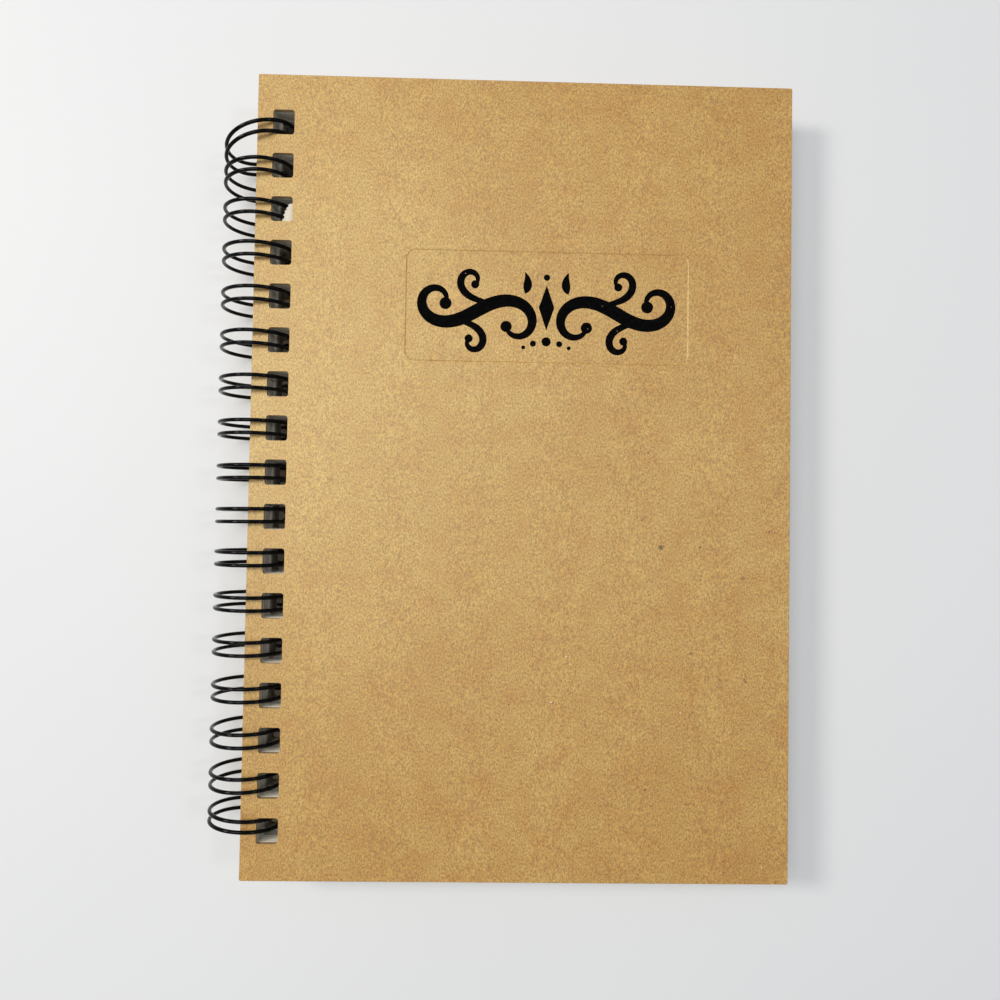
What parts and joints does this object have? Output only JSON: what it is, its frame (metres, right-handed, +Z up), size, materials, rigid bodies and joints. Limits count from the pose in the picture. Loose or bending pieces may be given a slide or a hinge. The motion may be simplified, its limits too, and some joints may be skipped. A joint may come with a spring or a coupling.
{
  "type": "wire-bound notebook",
  "caption": "Closed notebook with kraft board covers and a black twin-loop wire binding; both covers turn on the loops.",
  "frame": {"origin": "on the surface the notebook lies on, under the middle of its overall box", "axes": "+Y along the spine to the head of the page, +X from the spine to the fore-edge, +Z up"},
  "size_m": [0.1676, 0.2312, 0.0217],
  "materials": {
    "kraft_board": "uncoated brown kraft board with fine fibres, matte",
    "sheets": "uncoated off-white writing paper, cut edges",
    "black_wire": "black nylon-coated steel wire, glossy"
  },
  "bodies": {
    "bound_block": {"page_block": "sheets", "wire_binding": "black_wire"},
    "front_board": {"front_cover": "kraft_board"},
    "back_board": {"back_cover": "kraft_board"}
  },
  "joints": [
    {"name": "front_cover_turn", "type": "hinge", "parent": "bound_block", "child": "front_board", "pos_m": [-0.07293, 0, 0.01085], "axis": [0, -1, 0], "range_deg": [0, 182]},
    {"name": "back_cover_turn", "type": "hinge", "parent": "bound_block", "child": "back_board", "pos_m": [-0.07293, 0, 0.01085], "axis": [0, 1, 0], "range_deg": [0, 182]}
  ]
}
